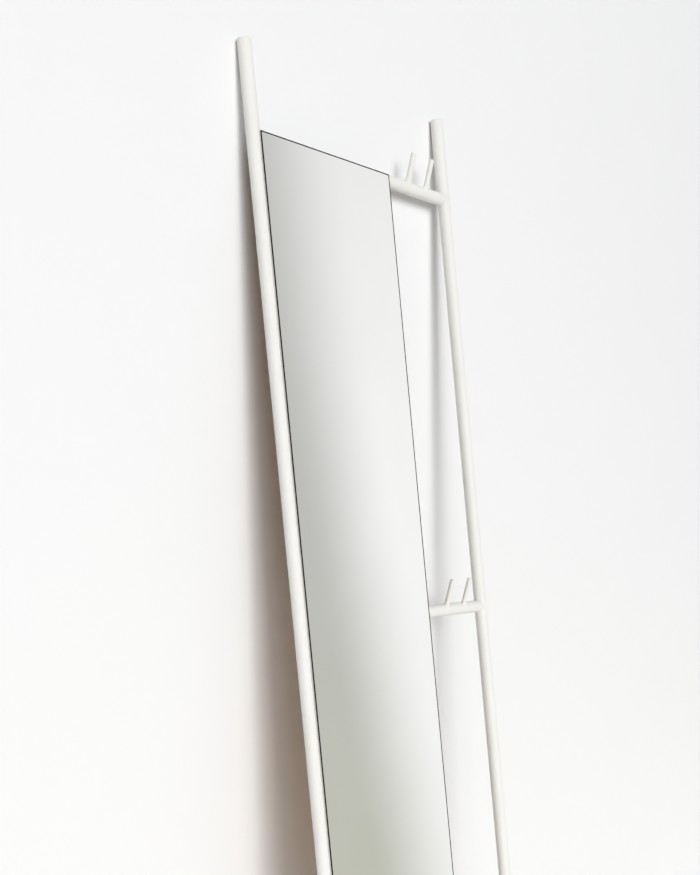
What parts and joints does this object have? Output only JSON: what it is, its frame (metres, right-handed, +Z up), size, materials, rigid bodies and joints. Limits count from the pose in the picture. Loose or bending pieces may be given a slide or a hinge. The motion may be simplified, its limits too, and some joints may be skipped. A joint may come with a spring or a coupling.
{
  "type": "leaning ladder mirror",
  "caption": "Tall ladder of round white tube that leans on a wall, with a long mirror on its rungs and pegs beside it for hanging clothes.",
  "frame": {"origin": "on the floor, at the bottom centre of the leaned ladder's box", "axes": "+Z up, +X to the pegs' side along the rungs, -Y to the front, with the wall on the +Y side"},
  "size_m": [0.585, 0.2562, 1.8871],
  "materials": {
    "white_paint": "satin powder coat, warm white",
    "white_plastic": "satin, warm white",
    "foot_rubber": "matt pale grey",
    "silvered_glass": "polished, silvered back",
    "hard_board": "hard board, natural at the back, white lacquered at the front and edges",
    "foam_tape": "dark foam",
    "black_strip": "satin black",
    "screw_steel": "zinc plated"
  },
  "bodies": {
    "root": {"backing_board": "hard_board", "bonding_tapes": "foam_tape", "bottom_edge_strip": "black_strip", "left_edge_strip": "black_strip", "left_foot": "foot_rubber", "left_pole": "white_paint", "left_top_cap": "white_plastic", "lower_left_tab": "white_paint", "lower_right_tab": "white_paint", "lower_rung": "white_paint", "middle_inner_peg": "white_paint", "middle_left_tab": "white_paint", "middle_outer_peg": "white_paint", "middle_right_tab": "white_paint", "middle_rung": "white_paint", "mirror_glass": "silvered_glass", "right_edge_strip": "black_strip", "right_foot": "foot_rubber", "right_pole": "white_paint", "right_top_cap": "white_plastic", "tab_screws": "screw_steel", "top_edge_strip": "black_strip", "upper_inner_peg": "white_paint", "upper_left_tab": "white_paint", "upper_outer_peg": "white_paint", "upper_right_tab": "white_paint", "upper_rung": "white_paint"}
  },
  "joints": []
}
